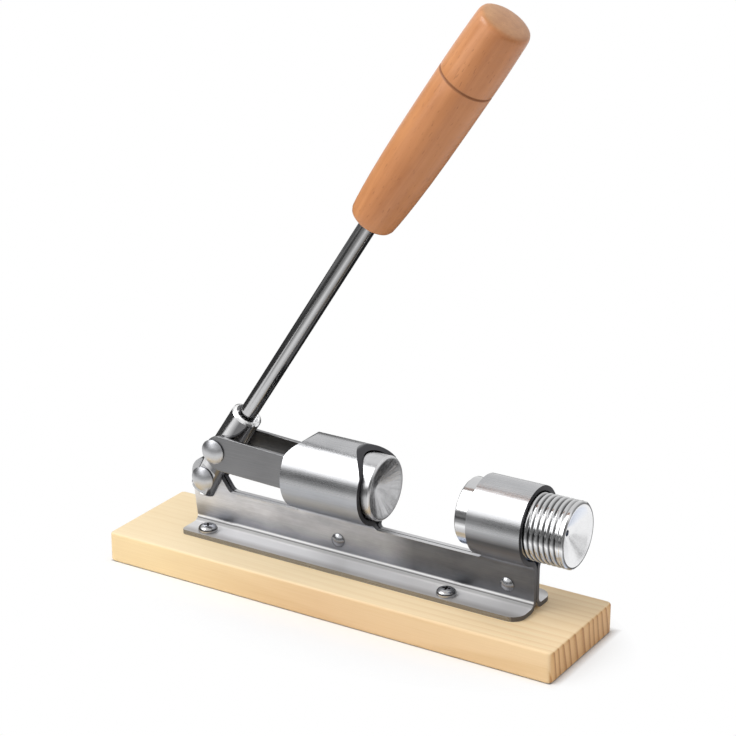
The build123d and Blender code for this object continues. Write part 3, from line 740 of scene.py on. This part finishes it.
inner, outer, floorRadius = anvil["inner"], anvil["outer"], anvil["floor"]
rim = anvil["radius"] - anvil["rim"]
shoulder = anvil["radius"] - anvil["chamfer"]
holeTop = outer - anvil["dish"]
holeEnd = holeTop - anvil["holeDepth"]
barrel = outer - inner - 2 * anvil["chamfer"]
steps = int(barrel / anvil["step"])
slopes = [i / anvil["dishSteps"] for i in range(anvil["dishSteps"] + 1)]
profile = [(0.0, inner + anvil["dish"])]
profile += [(floorRadius + (rim - floorRadius) * slope, inner + anvil["dish"] * (1 - slope)) for slope in slopes]
profile += [(shoulder, inner)]
profile += [(anvil["radius"], inner + anvil["chamfer"] + i * barrel / steps) for i in range(steps + 1)]
profile += [(shoulder, outer)]
profile += [(rim - (rim - floorRadius) * slope, outer - anvil["dish"] * slope) for slope in slopes]
profile += [(anvil["hole"], holeTop), (anvil["hole"], holeEnd), (0.0, holeEnd - anvil["holePoint"])]
bm = turned(profile, (0, 0, 0), upward, anvil["sides"])
for v in bm.verts:
    around = math.hypot(v.co.x, v.co.y)
    if around > anvil["radius"] - 0.01:
        share = 1 - threadDrop(v.co.z, math.atan2(v.co.y, v.co.x)) / around
        v.co.x *= share
        v.co.y *= share
bmesh.ops.rotate(bm, cent=(0, 0, 0), matrix=upward.rotation_difference(barDir).to_matrix(), verts=bm.verts)
bmesh.ops.translate(bm, vec=(0, frameY, barAxisZ), verts=bm.verts)
finishPiece(bm, "threaded_anvil", "anvil", ["anvil_screw"], brightAlloy, anvil["smooth"])
print("anvil done")

# studio: a pale floor that fades to white away from the board, in metres
floorFinish = {"size": 6.0, "rough": 0.8, "gloss": 0.1, "cloud": 3.0,
               "pale": [(0.3, (0.945, 0.955, 0.97)), (0.7, (0.96, 0.97, 0.985))],
               "squash": (0.5, 1.0, 1.0), "white": (0.040, 0.072), "contact": (0.0003, 0.004),
               "shade": (-0.0009, 0.0002), "shadeTone": (0.40, 0.40, 0.41)}


def seenOrMirrored(tree):
    path = addNode(tree, "ShaderNodeLightPath")
    mirrored = math2(tree, "MAXIMUM", path.outputs["Is Glossy Ray"], path.outputs["Is Transmission Ray"])
    return math2(tree, "MAXIMUM", path.outputs["Is Camera Ray"], mirrored)


bm = bmesh.new()
bmesh.ops.create_grid(bm, x_segments=1, y_segments=1, size=floorFinish["size"])
floorMesh = meshOf(bm, "floor")
floor = addObject("floor", floorMesh)
floorMat, tree, shader = newMaterial("pale floor")
shader.inputs["Roughness"].default_value = floorFinish["rough"]
shader.inputs["Specular IOR Level"].default_value = floorFinish["gloss"]
paleTone = ramp(tree, noise(tree, placed(tree), floorFinish["cloud"], 2.0), floorFinish["pale"])
x, y = axes(tree, placed(tree))[:2]
besideX = math2(tree, "SUBTRACT", math2(tree, "ABSOLUTE", x), 0.5 * board["length"] * mm)
besideY = math2(tree, "SUBTRACT", math2(tree, "ABSOLUTE", y), 0.5 * board["width"] * mm)
beside = math2(tree, "MAXIMUM", besideX, besideY)
# painted contact shadow on the floor just under the board's edges
shaded = covered(tree, falling(tree, beside, floorFinish["shade"]), paleTone, floorFinish["shadeTone"])
tree.links.new(shaded, shader.inputs["Base Color"])
away = length2(tree, *axes(tree, placed(tree, floorFinish["squash"]))[:2])
whiteShare = product(tree, seenOrMirrored(tree), rising(tree, beside, floorFinish["contact"]),
                     rising(tree, away, floorFinish["white"]))
glow = addNode(tree, "ShaderNodeEmission", {"Color": (*white, 1.0), "Strength": 1.0})
joined = addNode(tree, "ShaderNodeMixShader")
tree.links.new(whiteShare, joined.inputs[0])
tree.links.new(shader.outputs[0], joined.inputs[1])
tree.links.new(glow.outputs[0], joined.inputs[2])
tree.links.new(joined.outputs[0], tree.nodes["Material Output"].inputs["Surface"])
floorMesh.materials.append(floorMat)

# white surround, dimmer as a light than as it looks
surround = {"light": 0.62, "look": 1.0}
world = bpy.data.worlds.new("studio")
bpy.context.scene.world = world
world.use_nodes = True
tree = world.node_tree
background = tree.nodes["Background"]
background.inputs["Color"].default_value = (*white, 1.0)
tree.links.new(span(tree, seenOrMirrored(tree), surround["light"], surround["look"]), background.inputs["Strength"])

# dark and light cards that only the metal sees: sweeps of a rail round the middle of the board
flags = {
    "wall": {"radius": 0.60, "low": 0.012, "high": 0.40, "from": 150.0, "sweep": 222.0,
             "tones": [(0.0, 0.22), (0.12, 0.16), (0.28, 0.13), (0.75, 0.12), (1.0, 0.75)]},
    "front rug": {"inner": 0.20, "radius": 0.60, "low": 0.003, "high": 0.012, "from": 227.0, "sweep": 60.0,
                  "tones": [(0.0, 0.75), (0.35, 0.27), (1.0, 0.22)]},
    "left flag": {"radius": 0.48, "low": 0.0, "high": 0.17, "from": 118.0, "sweep": 75.0,
                  "tones": [(0.0, 0.05), (0.7, 0.05), (1.0, 0.30)]},
    "front left flag": {"radius": 0.48, "low": 0.015, "high": 0.17, "from": 193.0, "sweep": 39.0,
                        "tones": [(0.0, 0.05), (0.7, 0.05), (1.0, 0.30)]},
    "right flag": {"radius": 0.40, "low": 0.0, "high": 0.14, "from": 24.0, "sweep": 8.0,
                   "tones": [(0.0, 0.15), (0.8, 0.15), (1.0, 0.50)]},
    "side card": {"radius": 0.55, "low": 0.185, "high": 0.41, "from": 258.0, "sweep": 40.0,
                  "tones": [(0.0, 0.5), (0.25, 1.2), (1.0, 1.6)]},
    "white card": {"radius": 0.55, "low": 0.185, "high": 0.41, "from": 214.0, "sweep": 44.0,
                   "tones": [(0.0, 0.5), (0.25, 2.2), (1.0, 3.2)]},
}
rug = {"x": (-0.45, 0.10), "y": (0.05, 0.50), "z": 0.003, "tone": 0.06}


def glossyOnly(bm, name, tones, low, high):
    mesh = meshOf(bm, name)
    flag = addObject(name, mesh)
    flag.visible_camera = False
    flag.visible_diffuse = False
    flag.visible_shadow = False
    flag.visible_transmission = False
    mat, tree, shader = newMaterial(name)
    shader.inputs["Base Color"].default_value = (0, 0, 0, 1)
    shader.inputs["Specular IOR Level"].default_value = 0.0
    climb = rising(tree, axes(tree, placed(tree))[2], (low, high))
    tree.links.new(ramp(tree, climb, greys(tones)), shader.inputs["Emission Color"])
    shader.inputs["Emission Strength"].default_value = 1.0
    mesh.materials.append(mat)


for name, f in flags.items():
    bm = bmesh.new()
    start = Matrix.Rotation(math.radians(f["from"]), 3, "Z")
    foot = bm.verts.new(start @ Vector((f.get("inner", f["radius"]), 0, f["low"])))
    top = bm.verts.new(start @ Vector((f["radius"], 0, f["high"])))
    rail = bm.edges.new((foot, top))
    sweep = math.radians(f["sweep"])
    bmesh.ops.spin(bm, geom=[foot, top, rail], cent=(0, 0, 0), axis=upward, angle=sweep, steps=48)
    glossyOnly(bm, name, f["tones"], f["low"], f["high"])
bm = bmesh.new()
bm.faces.new([bm.verts.new((rug["x"][i], rug["y"][j], rug["z"])) for i, j in ((0, 0), (1, 0), (1, 1), (0, 1))])
glossyOnly(bm, "dark rug", [(0.0, rug["tone"]), (1.0, rug["tone"])], 0.0, 1.0)

# one big soft lamp
key = {"place": (-0.95, -0.78, 1.5), "aim": (0, 0, 0.06), "size": 1.2, "power": 22.0}
keyData = bpy.data.lights.new("key", "AREA")
keyData.shape = "RECTANGLE"
keyData.size, keyData.size_y = key["size"], key["size"]
keyData.energy = key["power"]
lamp = addObject("key", keyData)
lamp.location = key["place"]
lamp.rotation_euler = (Vector(key["aim"]) - Vector(key["place"])).to_track_quat("-Z", "Y").to_euler()
print("studio done")

# camera
view = {"azimuth": 31.812, "elevation": 20.231, "distance": 0.9924, "target": (0.00864, 0.0, 0.11508), "lens": 107.96,
        "sensor": 36.0, "near": 0.01}
az, el = math.radians(view["azimuth"]), math.radians(view["elevation"])
back = Vector((math.sin(az) * math.cos(el), -math.cos(az) * math.cos(el), math.sin(el)))
cameraData = bpy.data.cameras.new("camera")
cameraData.lens = view["lens"]
cameraData.sensor_width = view["sensor"]
cameraData.clip_start = view["near"]
camera = addObject("camera", cameraData)
camera.location = Vector(view["target"]) + back * view["distance"]
camera.rotation_euler = (-back).to_track_quat("-Z", "Y").to_euler()
bpy.context.scene.camera = camera
bpy.context.scene.view_settings.view_transform = "Standard"

print("camera set")
